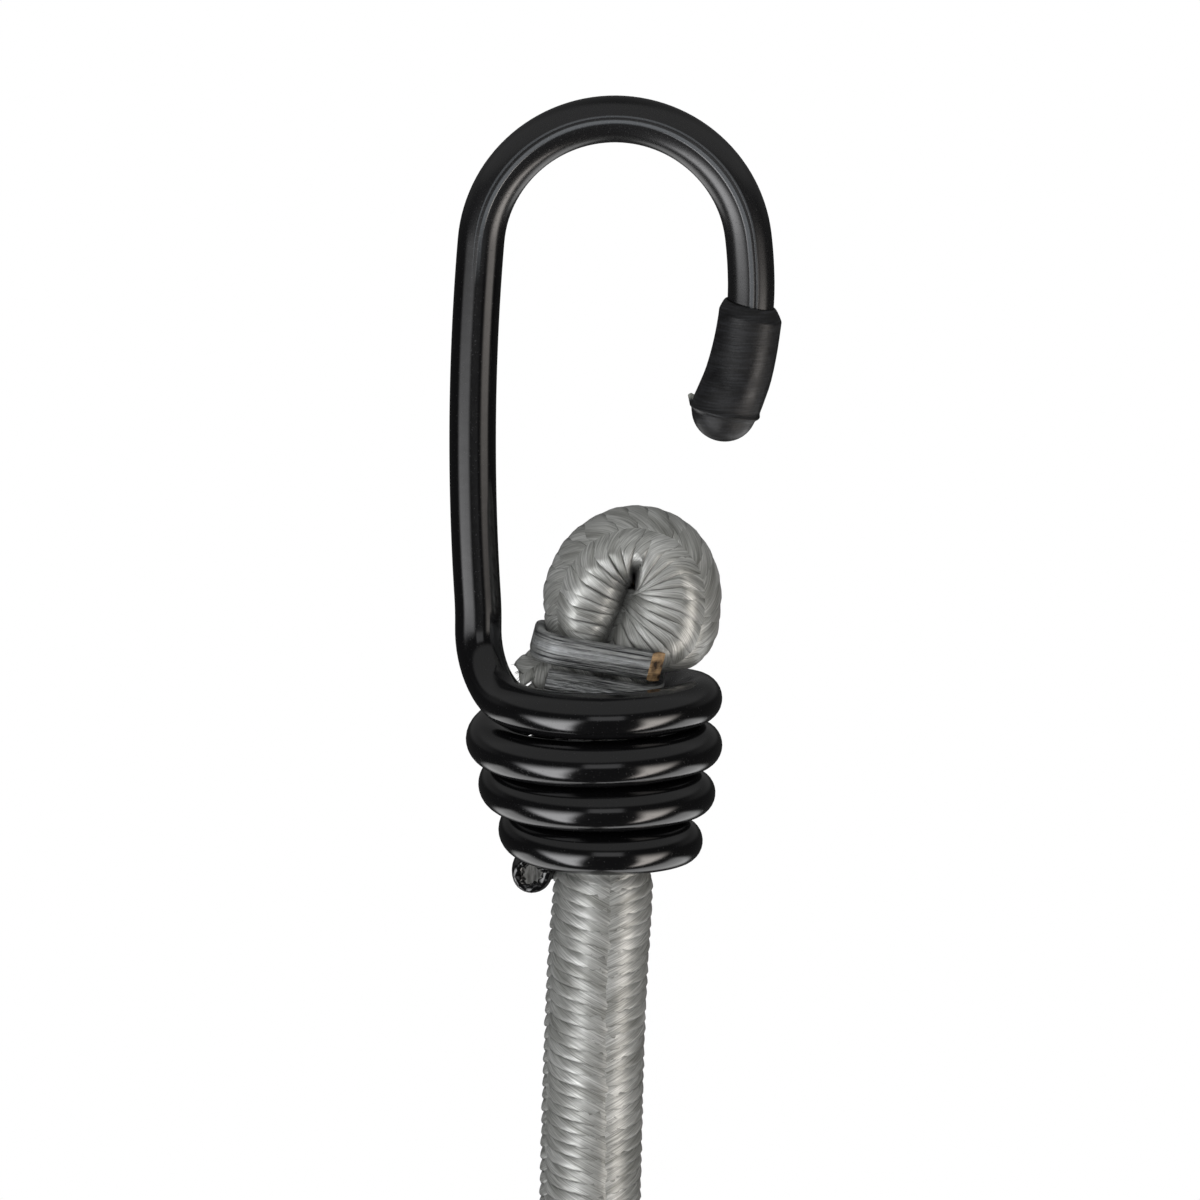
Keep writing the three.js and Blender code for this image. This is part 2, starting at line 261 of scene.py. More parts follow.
# Braided jacket: eight flat bundles of bright grey filament, four laid each way, over two and under two.
# They are plaited tight round the rubber, so the floats stand in four columns with a V between them.
braid_lay = 5.0  # length of cord in one turn of a bundle
bundle_width = 1.52
bundle_thickness = 0.86
bundle_middle = 4.46  # radius that the bundles weave about
bundle_weave = 0.36  # to each side of it
column_centre = math.radians(-37)  # a right-hand float's middle, from the front towards +X
crossing = math.radians(30.5)  # where the first bundle of each hand starts, round the cord
filament_slant = math.radians(18)  # of the twisted filaments to their bundle
fold_twist = math.radians(34)  # of the doubled end, which was turned as it was pulled into the neck
slow_twist = math.radians(0.33)  # of the free stretch, in each millimetre
tail_end = -0.6  # the jacket reaches a little past the rubber
seam_height = -73.19  # fold and free stretch meet here, in the neck
seam_row = 18  # the last row above the seam
seam_run = np.interp(seam_row, row_numbers, cord_run[1:-1]) + cord_rows[seam_row, 1] - seam_height

# A bundle is flat on top. Its corners are in half widths and half thicknesses, each with a share of painted
# shade for how much the next bundle would shade it.
bundle_across = np.array([1, 0.93, 0.62, 0.21, -0.21, -0.62, -0.93, -1, -0.45, 0.45])
bundle_height = np.array([0, 0.55, 0.9, 1, 1, 0.9, 0.55, 0, -1, -1])
bundle_painted_shade = np.array([1, 0.9, 0, 0, 0, 0, 0.8, 1, 1, 1])
bundle_corners = np.stack([bundle_across * bundle_width / 2, bundle_height * bundle_thickness / 2], axis=1)
bundle_sides = np.linalg.norm(np.roll(bundle_corners, -1, axis=0) - bundle_corners, axis=1)
bundle_round = np.concatenate([[0], np.cumsum(bundle_sides)])
bundle_lift = 0.17  # of a float's lower edge over the next one
map_gap = 411.3  # between the bundles' maps, so that no two have the same streaks

# Where things come and go: along the cord, in millimetres from the cut tail, along a float, in degrees
# from its middle, and round the fold, from -1 on its outside to 1 towards its other leg.
doubled_fades = (30, 38)
twist_fades = (38, 52)
top_starts, top_fades = (6, 12), (28, 36)
bend_starts, bend_fades = (10, 15), (17, 22)
v_starts = (-2, 34)
lift_starts, lift_fades = (-70, -30), (-4, 20)
pleats_start = -0.35
shade_starts = (0.42, 0.95)

# Shares by which a bundle spreads, is pressed flat, loses the lift of its edge and loses the painted shade of
# the next bundle, each where it dips into the V and then in the fold.
v_spread, fold_spread = 0.22, 0.35
v_flattened, fold_flattened = 0.92, 0.8
v_unlifted, fold_unlifted = 0.9, 0.7
v_unshaded, fold_unshaded = 0.8, 0.3
# Painted shade that the fold's other leg gives, and how much further round the bend that painted shade
# reaches.
leg_shade = 0.8  # of the fold's other leg
bend_shade = 0.5  # by which that shade reaches further round in the bend

# The lay is a little uneven: the size of each waver, in width as a share and otherwise in millimetres,
# then the length of cord in one radian of it.
width_waver, width_length = 0.03, 3.1
height_waver, height_length = 0.02, 2.3
place_waver, place_length = 0.05, 1.9
phase_step = 1.7  # from one bundle's wavers to the next one's


def eased(value, start, end):
    share = np.clip((value - start) / (end - start), 0, 1)
    return share * share * (3 - 2 * share)


# A stretch of braid, with an attribute that says how much painted shade each corner gets: under the next
# bundle, or pressed against the other leg of the fold.
def braid(name, start, end, steps_a_turn):
    steps = round((end - start) / braid_lay * steps_a_turn) + 1
    along = np.linspace(start, end, steps)
    doubled = 1 - eased(along, *doubled_fades)
    over_top = eased(along, *top_starts) * (1 - eased(along, *top_fades))
    in_bend = eased(along, *bend_starts) * (1 - eased(along, *bend_fades))
    twist = fold_twist * (1 - eased(along, *twist_fades)) + slow_twist * np.maximum(along - seam_run, 0)
    rings, map_along, painted_shade = [], [], []
    for hand in (1, -1):
        for bundle in range(4):
            turn = crossing + twist + bundle * math.pi / 2 + hand * 2 * math.pi * along / braid_lay
            to_leg = -np.sin(turn)
            middle_of_float = column_centre + twist + (hand < 0) * math.pi / 2
            from_middle = (turn - middle_of_float + math.pi / 2) % math.pi - math.pi / 2
            over = np.cos(2 * from_middle)
            to_the_v = np.degrees(hand * from_middle)  # 45 where the hands meet in a V
            near_v = eased(to_the_v, *v_starts)
            stretched = over_top * np.clip(-to_leg, 0, 1)
            pleated = doubled * np.clip(to_leg - pleats_start, 0, 1)

            phase = phase_step * bundle + hand
            wider = width_waver * np.sin(along / width_length + phase)
            higher = height_waver * np.sin(along / height_length + 2 * phase)
            strayed = along + place_waver * np.sin(along / place_length + 2.6 * phase)
            spread = 1 + wider + v_spread * near_v + fold_spread * stretched
            width = bundle_width * spread * (0.94 + 0.06 * over)  # narrower where it goes under
            middle = bundle_middle + bundle_weave * over + higher
            lift = bundle_lift * eased(to_the_v, *lift_starts)
            lift *= 1 - v_unlifted * eased(to_the_v, *lift_fades)
            lift *= 1 - fold_unlifted * pleated
            pressed = np.maximum(v_flattened * near_v, fold_flattened * pleated)[:, None]
            flattened = 1 - (1 - bundle_height) * (1 - pressed)
            out = middle[:, None] + bundle_thickness / 2 * flattened + lift[:, None] * bundle_across
            inwards = to_leg[:, None] * out / cord_radius
            backwards = -np.cos(turn)[:, None] * out / cord_radius
            rings.append(in_cord(strayed[:, None] + width[:, None] / 2 * bundle_across, inwards, backwards))
            run = 2 * math.pi * cord_radius * along / braid_lay
            map_along.append(run + map_gap * (bundle + 4 * (hand > 0)))

            # Painted shade: how dark each corner is painted, for the fold's other leg and for the next
            # bundle.
            shaded_by_leg = leg_shade * doubled * eased(to_leg + bend_shade * in_bend, *shade_starts)
            open_v, open_fold = 1 - v_unshaded * near_v, 1 - fold_unshaded * pleated
            shaded_by_next = open_v[:, None] * open_fold[:, None] * bundle_painted_shade
            painted_shade.append(np.maximum(shaded_by_leg[:, None], shaded_by_next))
    laid = lay_tubes(name, np.array(rings), bundle_round, np.array(map_along), filament_slant)
    painted_shade_values = laid.data.attributes.new("painted_shade", "FLOAT", "POINT")
    painted_shade_values.data.foreach_set("value", np.array(painted_shade).ravel())
    return laid


upper_fold = braid("upper_cord_braid_fold", tail_end, seam_run, 40)
free_cord = braid("cord_braid", seam_run, cord_length - seam_run, 25)

# At the cut tail the filaments have come loose in a short fringe that bends outwards.
random = np.random.default_rng(5)
fringe_count = 110
fringe_points = 7
fringe_sides = 5
fringe_root = -0.3
tuft_radius = 0.055
tail_radius = 4
fringe_steps = np.linspace(0, 1, fringe_points)[None, :, None]
fringe_angle = random.uniform(0, 2 * math.pi, (fringe_count, 1, 1))
fringe_length = random.uniform(0.5, 1.5, (fringe_count, 1, 1))
fringe_splay = random.uniform(-0.25, 0.3, (fringe_count, 1, 1))
fringe_twist = random.uniform(-0.4, 0.4, (fringe_count, 1, 1))
fringe_depth = random.uniform(0.62, 0.96, (fringe_count, 1, 1))
fringe_side = np.arange(fringe_sides)[None, None, :] * 2 * math.pi / fringe_sides
fringe_radius = tuft_radius * (1 - 0.6 * fringe_steps)
fringe_turn = fringe_angle + fringe_twist * fringe_steps + fringe_radius * np.cos(fringe_side) / tail_radius
fringe_out = fringe_depth + fringe_splay * fringe_steps**2 + fringe_radius * np.sin(fringe_side) / tail_radius
fringe_along = fringe_root - fringe_length * fringe_steps + 0 * fringe_side
fringe_rings = in_cord(fringe_along, fringe_out * np.sin(fringe_turn), fringe_out * np.cos(fringe_turn))
fringe_map = np.linspace(0, 2, fringe_points) + 3 * np.arange(fringe_count)[:, None]
fringe_round = np.linspace(0, 0.4, fringe_sides + 1)
upper_fringe = lay_tubes("upper_cord_fringe", fringe_rings, fringe_round, fringe_map, 0)

# Bright polyester filament: grey and silky, its gloss drawn out square to the filaments, with painted shade,
# nearly black, where a bundle is tucked away. A filament is 0.02 mm, too fine to show, so the streaks are
# drawn about 0.1 mm wide.
filament, tree, shader = new_finish(
    "grey_polyester_filament", Metallic=0.48, Roughness=0.36, IOR=1.55, Anisotropic=0.8, Sheen_Weight=0.05
)
lie = add_node(tree, "UVMap", {}, uv_map="UVMap")
streak_place = add_node(tree, "Mapping", {"Vector": lie, "Scale": (9, 0.3, 1)})
streaks = add_node(tree, "TexNoise", {"Vector": streak_place, "Scale": 1, "Detail": 3, "Roughness": 0.6})
streak_tone = add_node(tree, "ValToRGB", {"Fac": streaks}, stops=((0.3, "#8e8f8c"), (0.7, "#dedfdc")))
shade_place = add_node(tree, "Mapping", {"Vector": lie, "Scale": (1.1, 0.12, 1)})
shade = add_node(tree, "TexNoise", {"Vector": shade_place, "Scale": 1, "Detail": 2})
shade_tone = add_node(tree, "ValToRGB", {"Fac": shade}, stops=((0.35, "#c6c6c3"), (0.65, "#ffffff")))
colour = add_node(
    tree, "Mix", {0: 1, 6: streak_tone, 7: shade_tone}, data_type="RGBA", blend_type="MULTIPLY"
)
# Painted shade: the mesh's attribute mixes the colour towards nearly black at the tucked corners and in the
# crease.
painted_shade_attribute = add_node(tree, "Attribute", {}, attribute_name="painted_shade")
painted_shade_share = add_node(tree, "Math", {0: painted_shade_attribute.outputs["Fac"], 1: 0.85}, operation="MULTIPLY")
shaded = add_node(tree, "Mix", {0: painted_shade_share, 6: colour.outputs[2], 7: linear("#1d1d1c")}, data_type="RGBA")
bump = add_node(tree, "Bump", {"Height": streaks, "Strength": 0.8, "Distance": 0.06 * MM})
across_filaments = add_node(tree, "Tangent", {}, direction_type="UV_MAP", uv_map="UVMap")
tree.links.new(shaded.outputs[2], shader["Base Color"])
tree.links.new(bump.outputs["Normal"], shader["Normal"])
tree.links.new(across_filaments.outputs["Tangent"], shader["Tangent"])
upper_fringe.data.materials.append(filament)


# The same piece at the lower end: a copy with its own mesh, turned half round about Y.
def turned_copy(upper):
    lower = upper.copy()
    lower.data = upper.data.copy()
    lower.name = upper.name.replace("upper", "lower")
    bpy.context.collection.objects.link(lower)
    select_only(lower)
    lower.rotation_euler = (0, math.pi, 0)
    lower.location = (0, 0, lower_arch * MM)
    bpy.ops.object.transform_apply()
    return lower


lower_fold = turned_copy(upper_fold)
lower_fringe = turned_copy(upper_fringe)
for fringe, body in ((upper_fringe, "cord"), (lower_fringe, "lower_end")):
    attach(fringe, body)

for laid, node in (
    (upper_fold, "upper_cord_fold"),
    (free_cord, "cord_jacket"),
    (lower_fold, "lower_cord_fold"),
):
    laid.data.materials.append(filament)
    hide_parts(node)
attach(upper_fold, "cord")
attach(lower_fold, "lower_end")
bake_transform(free_cord)
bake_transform(core)

# Clips: a flat zinc-plated steel strip, cut off with shears and rolled one and a half times round the
# doubled cord, so that its two ends lie one above the other in front.
strip_thickness = 1.1
strip_height = 3.1
strip_edge = 0.48  # radius of its rolled edges
strip_step = 0.8  # between the rings of its mesh, about
shear_slant = math.radians(50)
clip_half_width = 6.4  # to the middle of the strip
clip_half_depth = 5.55
clip_corner = 2.8
corner_steps = 8
clip_reach = (4.85, 5.55)  # the lower and the upper cut end, across from the middle of the front
clip_shift = Vector((-0.4, 0, -0.6))  # of the clip, which was squeezed on out of true
clip_climb = 4.4  # from the lower cut end to the upper one
clip_tilt = math.radians(13)

end_x = clip_half_width - clip_corner
end_y = clip_half_depth - clip_corner
clip_corners = [(end_x, -end_y), (end_x, end_y), (-end_x, end_y), (-end_x, -end_y)]
straights = [
    (clip_reach[0] + end_x, 0),
    (0, 2 * end_y),
    (-2 * end_x, 0),
    (0, -2 * end_y),
    (clip_reach[1] + end_x, 0),
]
strip_length = sum(abs(x) + abs(y) for x, y in straights) + 4 * clip_corner * math.pi / 2

bpy.ops.object.select_all(action="DESELECT")
bpy.ops.mesh.primitive_plane_add(
    size=1, location=(-clip_reach[0], -clip_half_depth, -clip_climb / 2), rotation=(0, math.pi / 2, 0)
)
upper_clip = bpy.context.object
upper_clip.name = "upper_strip_clip"
upper_clip.scale = (strip_height, strip_thickness, 1)
bpy.ops.object.transform_apply()
bpy.ops.object.mode_set(mode="EDIT")
bpy.ops.mesh.select_all(action="SELECT")
ring_lengths = [0]
for wall, (x, y) in enumerate(straights):
    steps = max(2, round((abs(x) + abs(y)) / strip_step))
    for step in range(steps):
        length = (abs(x) + abs(y)) / steps
        rise = clip_climb * length / strip_length
        bpy.ops.mesh.extrude_region_move(TRANSFORM_OT_translate={"value": (x / steps, y / steps, rise)})
        ring_lengths.append(ring_lengths[-1] + length)
    if wall < len(clip_corners):
        corner_turn = math.pi / 2 / corner_steps
        for step in range(corner_steps):
            length = clip_corner * corner_turn
            bpy.ops.mesh.spin(steps=1, angle=-corner_turn, center=(*clip_corners[wall], 0), axis=(0, 0, 1))
            bpy.ops.transform.translate(value=(0, 0, clip_climb * length / strip_length))
            ring_lengths.append(ring_lengths[-1] + length)
# The last end is sheared off at a slant, so that its bare face looks forwards.
strip_end = (clip_reach[1], -clip_half_depth, clip_climb / 2)
bpy.ops.transform.rotate(value=shear_slant, orient_axis="Z", center_override=strip_end)
slant_stretch = 1 / math.cos(shear_slant)
bpy.ops.transform.resize(value=(slant_stretch, slant_stretch, 1), center_override=strip_end)
bpy.ops.mesh.select_all(action="DESELECT")
bpy.ops.mesh.select_mode(type="FACE")
bpy.ops.mesh.select_interior_faces()
bpy.ops.mesh.delete(type="FACE")
bpy.ops.mesh.select_all(action="SELECT")
bpy.ops.mesh.normals_make_consistent(inside=False)
bpy.ops.object.mode_set(mode="OBJECT")

# The map runs along the strip and up it, in millimetres. Each ring of the mesh has four points.
strip_map = upper_clip.data.uv_layers["UVMap"]
for loop in upper_clip.data.loops:
    ring_length = ring_lengths[loop.vertex_index // 4]
    climbed = clip_climb * (ring_length / strip_length - 0.5)
    height = upper_clip.data.vertices[loop.vertex_index].co.z - climbed
    strip_map.data[loop.index].uv = (ring_length, height)
upper_clip.scale = (MM, MM, MM)
upper_clip.rotation_euler = (0, clip_tilt, 0)
upper_clip.location = (Vector((0, 0, clip_middle)) + clip_shift) * MM
bpy.ops.object.transform_apply()

# The long edges are rolled round, and the sheared ones only lose their sharpness.
edge_rounding = upper_clip.data.attributes.new("bevel_weight_edge", "FLOAT", "EDGE")
last_ring = len(ring_lengths) - 1
for edge in upper_clip.data.edges:
    rings_joined = {index // 4 for index in edge.vertices}
    if len(rings_joined) == 2:
        edge_rounding.data[edge.index].value = 1
    elif rings_joined <= {0, last_ring}:
        edge_rounding.data[edge.index].value = 0.25
rounding = upper_clip.modifiers.new("rolled edges", "BEVEL")
rounding.limit_method = "WEIGHT"
rounding.width = strip_edge * MM
rounding.segments = 5
bpy.ops.object.modifier_apply(modifier=rounding.name)
bpy.ops.object.shade_smooth_by_angle(angle=math.radians(40))

# Zinc-plated strip: dull grey metal, drawn and pitted along its length, with a painted highlight along its
# crest. The streaks are 0.15 to 0.5 mm wide, and the last sheared face has no zinc, so it is brown with rust.
# Height of the painted highlight's band on the crest.
crest_height = 0.15  # above the middle of the strip
zinc, tree, shader = new_finish("zinc_plated_strip")
lie = add_node(tree, "UVMap", {}, uv_map="UVMap")
drawn_place = add_node(tree, "Mapping", {"Vector": lie, "Scale": (0.14, 3.2, 1)})
drawn = add_node(tree, "TexNoise", {"Vector": drawn_place, "Scale": 1, "Detail": 5, "Roughness": 0.62})
pit_place = add_node(tree, "Mapping", {"Vector": lie, "Scale": (1.1, 3.2, 1)})
pits = add_node(tree, "TexNoise", {"Vector": pit_place, "Scale": 1, "Detail": 3})
tone = add_node(tree, "ValToRGB", {"Fac": drawn}, stops=((0.38, "#3c3d3f"), (0.64, "#cccecd")))
on_strip = add_node(tree, "SeparateXYZ", {"Vector": lie})
along_strip, up_strip = on_strip.outputs["X"], on_strip.outputs["Y"]
# Painted highlight: a pale band along the crest, broken up by the pits, mixed into the plating's colour.
off_crest = add_node(tree, "Math", {0: up_strip, 1: crest_height}, operation="SUBTRACT")
beside_crest = add_node(tree, "Math", {0: off_crest}, operation="ABSOLUTE")
crest = add_node(tree, "MapRange", {0: beside_crest, 1: 0.15, 2: 0.5, 3: 1, 4: 0})
painted_crest_highlight = add_node(tree, "Math", {0: crest, 1: pits}, operation="MULTIPLY")
plating_and_highlight = add_node(tree, "Mix", {0: painted_crest_highlight, 6: tone, 7: linear("#e2e5e7")}, data_type="RGBA")
rust_edge = add_node(
    tree, "MapRange", {0: along_strip, 1: strip_length - 0.25, 2: strip_length - 0.08, 3: 0, 4: 1}
)
place = add_node(tree, "TexCoord", {})
blotches = add_node(tree, "TexNoise", {"Vector": place.outputs["Object"], "Scale": 1.1 / MM, "Detail": 4})
rust_tone = add_node(tree, "ValToRGB", {"Fac": blotches}, stops=((0.36, "#2e2117"), (0.64, "#b2926b")))
colour = add_node(tree, "Mix", {0: rust_edge, 6: plating_and_highlight.outputs[2], 7: rust_tone}, data_type="RGBA")
gloss = add_node(tree, "MapRange", {0: drawn, 1: 0.4, 2: 0.65, 3: 0.6, 4: 0.32})
crown = add_node(tree, "Math", {0: up_strip, 1: up_strip}, operation="MULTIPLY")
grain = add_node(tree, "Math", {0: drawn, 1: pits}, operation="ADD")
relief = add_node(tree, "Math", {0: crown, 1: -0.5, 2: grain}, operation="MULTIPLY_ADD")
bump = add_node(tree, "Bump", {"Height": relief, "Distance": 0.22 * MM})
bare_metal = add_node(tree, "MapRange", {0: rust_edge, 3: 0.75, 4: 0})
tree.links.new(colour.outputs[2], shader["Base Color"])
tree.links.new(bare_metal.outputs[0], shader["Metallic"])
tree.links.new(gloss.outputs[0], shader["Roughness"])
tree.links.new(bump.outputs["Normal"], shader["Normal"])
upper_clip.data.materials.append(zinc)

lower_clip = turned_copy(upper_clip)
for strip, node, body in ((upper_clip, "upper_clip", "cord"), (lower_clip, "lower_clip", "lower_end")):
    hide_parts(node)
    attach(strip, body)

# Hook wires: drawn steel wire, cropped with shears, wound into a tapering neck of four turns and bent
# into shank and arch. Its black plastic skin was drawn on first and is bruised over the cropped end.
steel_diameter = 3.4
skin_diameter = 4.7
cropped_share = 0.86  # of its diameter is left at the end that the shears have pinched
cropped_points = 14  # of the wire's line, over which it comes back to its full diameter
coil_height = -56.66
coil_radius = 10.5
coil_neck_radius = 7.2
coil_turns = 3.93
coil_pitch = 4.88
coil_steps = 380
coil_lean = math.radians(6)
coil_spring = 0.5  # by which the cropped end has sprung up
spring_start = 3.6  # in turns from the top, as coil_turns is
neck_bend = 6.8
wire_step = 0.7  # between the points of its line, about
coil_start = math.pi + math.atan2(neck_bend, coil_radius)

# The turns sit a little off the middle, each its own way: turns from the top, then how far towards +X.
coil_drift = (
    (0, 0.41, 0.91, 1.41, 1.91, 2.41, 2.91, 3.41, 3.93),
    (0, -0.6, -0.7, -0.3, -0.1, 0.5, 0.4, 0.8, 0.6),
)
wire_line = []
for step in range(coil_steps):
    turns = coil_turns * (1 - step / coil_steps)
    angle = coil_start + 2 * math.pi * turns
    radius = coil_radius + (coil_neck_radius - coil_radius) * eased(turns, 1, coil_turns)
    x = radius * math.cos(angle) + np.interp(turns, *coil_drift)
    lean = (x - coil_radius * math.cos(coil_start)) * math.tan(coil_lean)
    sprung = coil_spring * eased(turns, spring_start, coil_turns)
    wire_line.append(Vector((x, radius * math.sin(angle), coil_height + lean + sprung - coil_pitch * turns)))

leaving = Vector((math.sin(coil_start), -math.cos(coil_start), 0))
across_hook = Vector((0, 1, 0))
wire_bends = [  # axis, radius and angle of each bend, from the neck to the tip
    (leaving.cross(Vector((0, 0, 1))), neck_bend, 90),
    (-across_hook, 40, 4.7),
    (across_hook, 251, 8.3),
    (across_hook, 13.45, 168.5),
    (across_hook, 45, 6),
    (across_hook, 30, 25),
]
wire_at = Vector((coil_radius * math.cos(coil_start), coil_radius * math.sin(coil_start), coil_height))
wire_heading = leaving
wire_line.append(wire_at)
for axis, radius, degrees in wire_bends:
    bend_side = axis.cross(wire_heading)
    bend_start, bend_heading = wire_at, wire_heading
    steps = max(4, round(radius * math.radians(degrees) / wire_step))
    for step in range(1, steps + 1):
        turned = math.radians(degrees) * step / steps
        onwards = bend_heading * radius * math.sin(turned)
        sideways = bend_side * radius * (1 - math.cos(turned))
        wire_at = bend_start + onwards + sideways
        wire_line.append(wire_at)
    wire_heading = bend_heading * math.cos(turned) + bend_side * math.sin(turned)


def draw_wire(name, diameter, capped):
    curve = bpy.data.curves.new(name, "CURVE")
    curve.dimensions = "3D"
    curve.bevel_depth = diameter / 2 * MM
    curve.bevel_resolution = 14
    curve.use_fill_caps = capped
    line = curve.splines.new("POLY")
    line.points.add(len(wire_line) - 1)
    for number, (point, place_at) in enumerate(zip(line.points, wire_line)):
        point.co = (*(place_at * MM), 1)
        point.radius = cropped_share + (1 - cropped_share) * eased(number, 0, cropped_points)
    wire = bpy.data.objects.new(name, curve)
    bpy.context.collection.objects.link(wire)
    select_only(wire)
    bpy.ops.object.convert(target="MESH")
    bpy.ops.object.shade_smooth_by_angle(angle=math.radians(50))
    return bpy.context.object


upper_wire = draw_wire("upper_hook_steel", steel_diameter, True)
upper_skin = draw_wire("upper_hook_skin", skin_diameter, False)

# The skin is bruised over the steel at the cropped end: its edge is rolled in, unevenly.
bruise_rings = ((0.16, 0.95), (0.12, 0.86), (0.02, 0.8), (-0.1, 0.76), (-0.16, 0.88))  # push and shrink
bruise_roughness = 0.07
cut_end = wire_line[0] * MM
cut_facing = (wire_line[0] - wire_line[1]).normalized()
bpy.ops.object.mode_set(mode="EDIT")
bpy.ops.mesh.select_mode(type="VERT")
bpy.ops.mesh.select_all(action="DESELECT")
bpy.ops.object.mode_set(mode="OBJECT")
for vertex in upper_skin.data.vertices:
    from_end = vertex.co - cut_end
    vertex.select = from_end.length < skin_diameter / 2 * MM and abs(from_end.dot(cut_facing)) < 0.01 * MM
bpy.ops.object.mode_set(mode="EDIT")
for push, shrink in bruise_rings:
    bpy.ops.mesh.extrude_region_move(TRANSFORM_OT_translate={"value": cut_facing * push * MM})
    bpy.ops.transform.resize(value=(shrink, shrink, shrink), center_override=cut_end)
    bpy.ops.transform.vertex_random(offset=bruise_roughness * MM, uniform=1, seed=4)
bpy.ops.object.mode_set(mode="OBJECT")

# Where the front of the arch is on the map that the skin has from its curve: along, then round.
arch_foot = -15
skin_map = upper_skin.data.uv_layers["UVMap"].data
skin_points = upper_skin.data.vertices
arch_loops = [loop for loop in upper_skin.data.loops if skin_points[loop.vertex_index].co.z > arch_foot * MM]
front_loop = min(arch_loops, key=lambda loop: skin_points[loop.vertex_index].co.y)
arch_start = min(skin_map[loop.index].uv.x for loop in arch_loops)
die_line = skin_map[front_loop.index].uv.y

# Black vinyl skin: deep black and glossy, with a faint ripple about 2 mm long and dull specks of dust. The
# die left a double line along the front of the arch, which handling has rubbed grey.
die_line_wander = (die_line - 0.04, die_line - 0.016)  # round the wire, in turns
die_line_reach = 0.05  # to each side, in turns
die_line_heights = (  # of its two ridges, across it
    (0.14, "#000000"),
    (0.21, "#d0d0d0"),
    (0.27, "#d0d0d0"),
    (0.34, "#000000"),
    (0.46, "#000000"),
    (0.56, "#ffffff"),
    (0.74, "#ffffff"),
    (0.84, "#000000"),
)
vinyl, tree, shader = new_finish("black_vinyl_skin", IOR=1.65)
lie = add_node(tree, "UVMap", {}, uv_map="UVMap")
on_skin = add_node(tree, "SeparateXYZ", {"Vector": lie})
wander = add_node(tree, "TexNoise", {"Vector": lie, "Scale": 14, "Detail": 2})
line_at = add_node(tree, "MapRange", {0: wander, 3: die_line_wander[0], 4: die_line_wander[1]})
from_line = add_node(tree, "Math", {0: on_skin.outputs["Y"], 1: line_at}, operation="SUBTRACT")
across_line = add_node(tree, "MapRange", {0: from_line, 1: -die_line_reach, 2: die_line_reach})
ridges = add_node(tree, "ValToRGB", {"Fac": across_line}, stops=die_line_heights)
ridges.color_ramp.interpolation = "EASE"
on_arch = add_node(tree, "MapRange", {0: on_skin.outputs["X"], 1: arch_start, 2: arch_start + 0.02})
die_mark = add_node(tree, "Math", {0: ridges, 1: on_arch}, operation="MULTIPLY")
place = add_node(tree, "TexCoord", {})
ripple = add_node(tree, "TexNoise", {"Vector": place.outputs["Object"], "Scale": 0.5 / MM, "Detail": 2})
dust = add_node(tree, "TexNoise", {"Vector": place.outputs["Object"], "Scale": 5 / MM, "Detail": 2})
tone = add_node(tree, "ValToRGB", {"Fac": dust}, stops=((0.66, "#0a0a0b"), (0.76, "#1c1c1d")))
dulled = add_node(tree, "Mix", {0: on_arch, 6: tone, 7: linear("#121213")}, data_type="RGBA")
rubbed_line = add_node(
    tree, "Mix", {0: die_mark, 6: dulled.outputs[2], 7: linear("#4d5053")}, data_type="RGBA"
)
gloss = add_node(tree, "MapRange", {0: dust, 1: 0.62, 2: 0.72, 3: 0.13, 4: 0.3})
worn = add_node(tree, "Math", {0: on_arch, 1: 0.13, 2: gloss}, operation="MULTIPLY_ADD")
rippled = add_node(tree, "Math", {0: ripple, 1: 0.15, 2: die_mark}, operation="MULTIPLY_ADD")
bump = add_node(tree, "Bump", {"Height": rippled, "Distance": 0.05 * MM})
tree.links.new(rubbed_line.outputs[2], shader["Base Color"])
tree.links.new(worn.outputs[0], shader["Roughness"])
tree.links.new(bump.outputs["Normal"], shader["Normal"])
upper_skin.data.materials.append(vinyl)

# Drawn steel: bare only on the cropped face, grey with shear marks about 0.2 mm apart.
steel, tree, shader = new_finish("sheared_steel", Metallic=0.9, Roughness=0.5)
place = add_node(tree, "TexCoord", {})
shear_scale = (5 / MM, 5 / MM, 0.8 / MM)
shear_place = add_node(tree, "Mapping", {"Vector": place.outputs["Object"], "Scale": shear_scale})
shear = add_node(tree, "TexNoise", {"Vector": shear_place, "Scale": 1, "Detail": 4})
tone = add_node(tree, "ValToRGB", {"Fac": shear}, stops=((0.3, "#5a5a58"), (0.7, "#a2a29f")))
bump = add_node(tree, "Bump", {"Height": shear, "Strength": 0.4, "Distance": 0.05 * MM})
tree.links.new(tone.outputs["Color"], shader["Base Color"])
tree.links.new(bump.outputs["Normal"], shader["Normal"])
upper_wire.data.materials.append(steel)

lower_wire = turned_copy(upper_wire)
lower_skin = turned_copy(upper_skin)
for end, wire, skin in (("upper", upper_wire, upper_skin), ("lower", lower_wire, lower_skin)):
    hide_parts(f"{end}_hook_wire")
    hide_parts(f"{end}_hook_coating")
    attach(wire, f"{end}_hook")
    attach(skin, f"{end}_hook")

